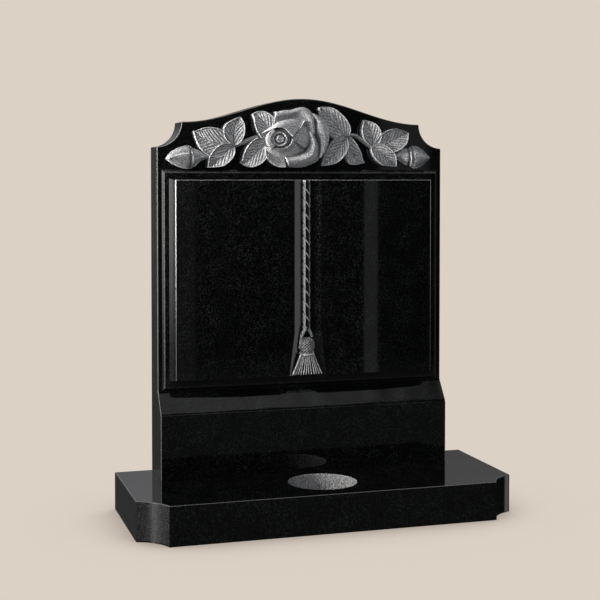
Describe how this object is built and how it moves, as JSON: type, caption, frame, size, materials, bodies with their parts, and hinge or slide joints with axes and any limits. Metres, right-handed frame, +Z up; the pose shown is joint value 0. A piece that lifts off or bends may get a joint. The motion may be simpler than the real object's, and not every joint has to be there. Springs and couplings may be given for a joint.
{
  "type": "headstone",
  "caption": "Polished granite lawn headstone: a tablet with an open book, cord, tassel and carved rose spray, standing on a low base with a flower container hole.",
  "frame": {"origin": "middle of the base's underside", "axes": "+Z up, the carved front faces -Y, +X to the right as seen from the front"},
  "size_m": [0.762, 0.305, 0.839],
  "materials": {
    "base_granite": "polished black granite, with a rough-drilled bore",
    "tablet_granite": "polished black granite, with the carved spray left frosted grey"
  },
  "bodies": {
    "root": {"base": "base_granite", "tablet": "tablet_granite"}
  },
  "joints": []
}
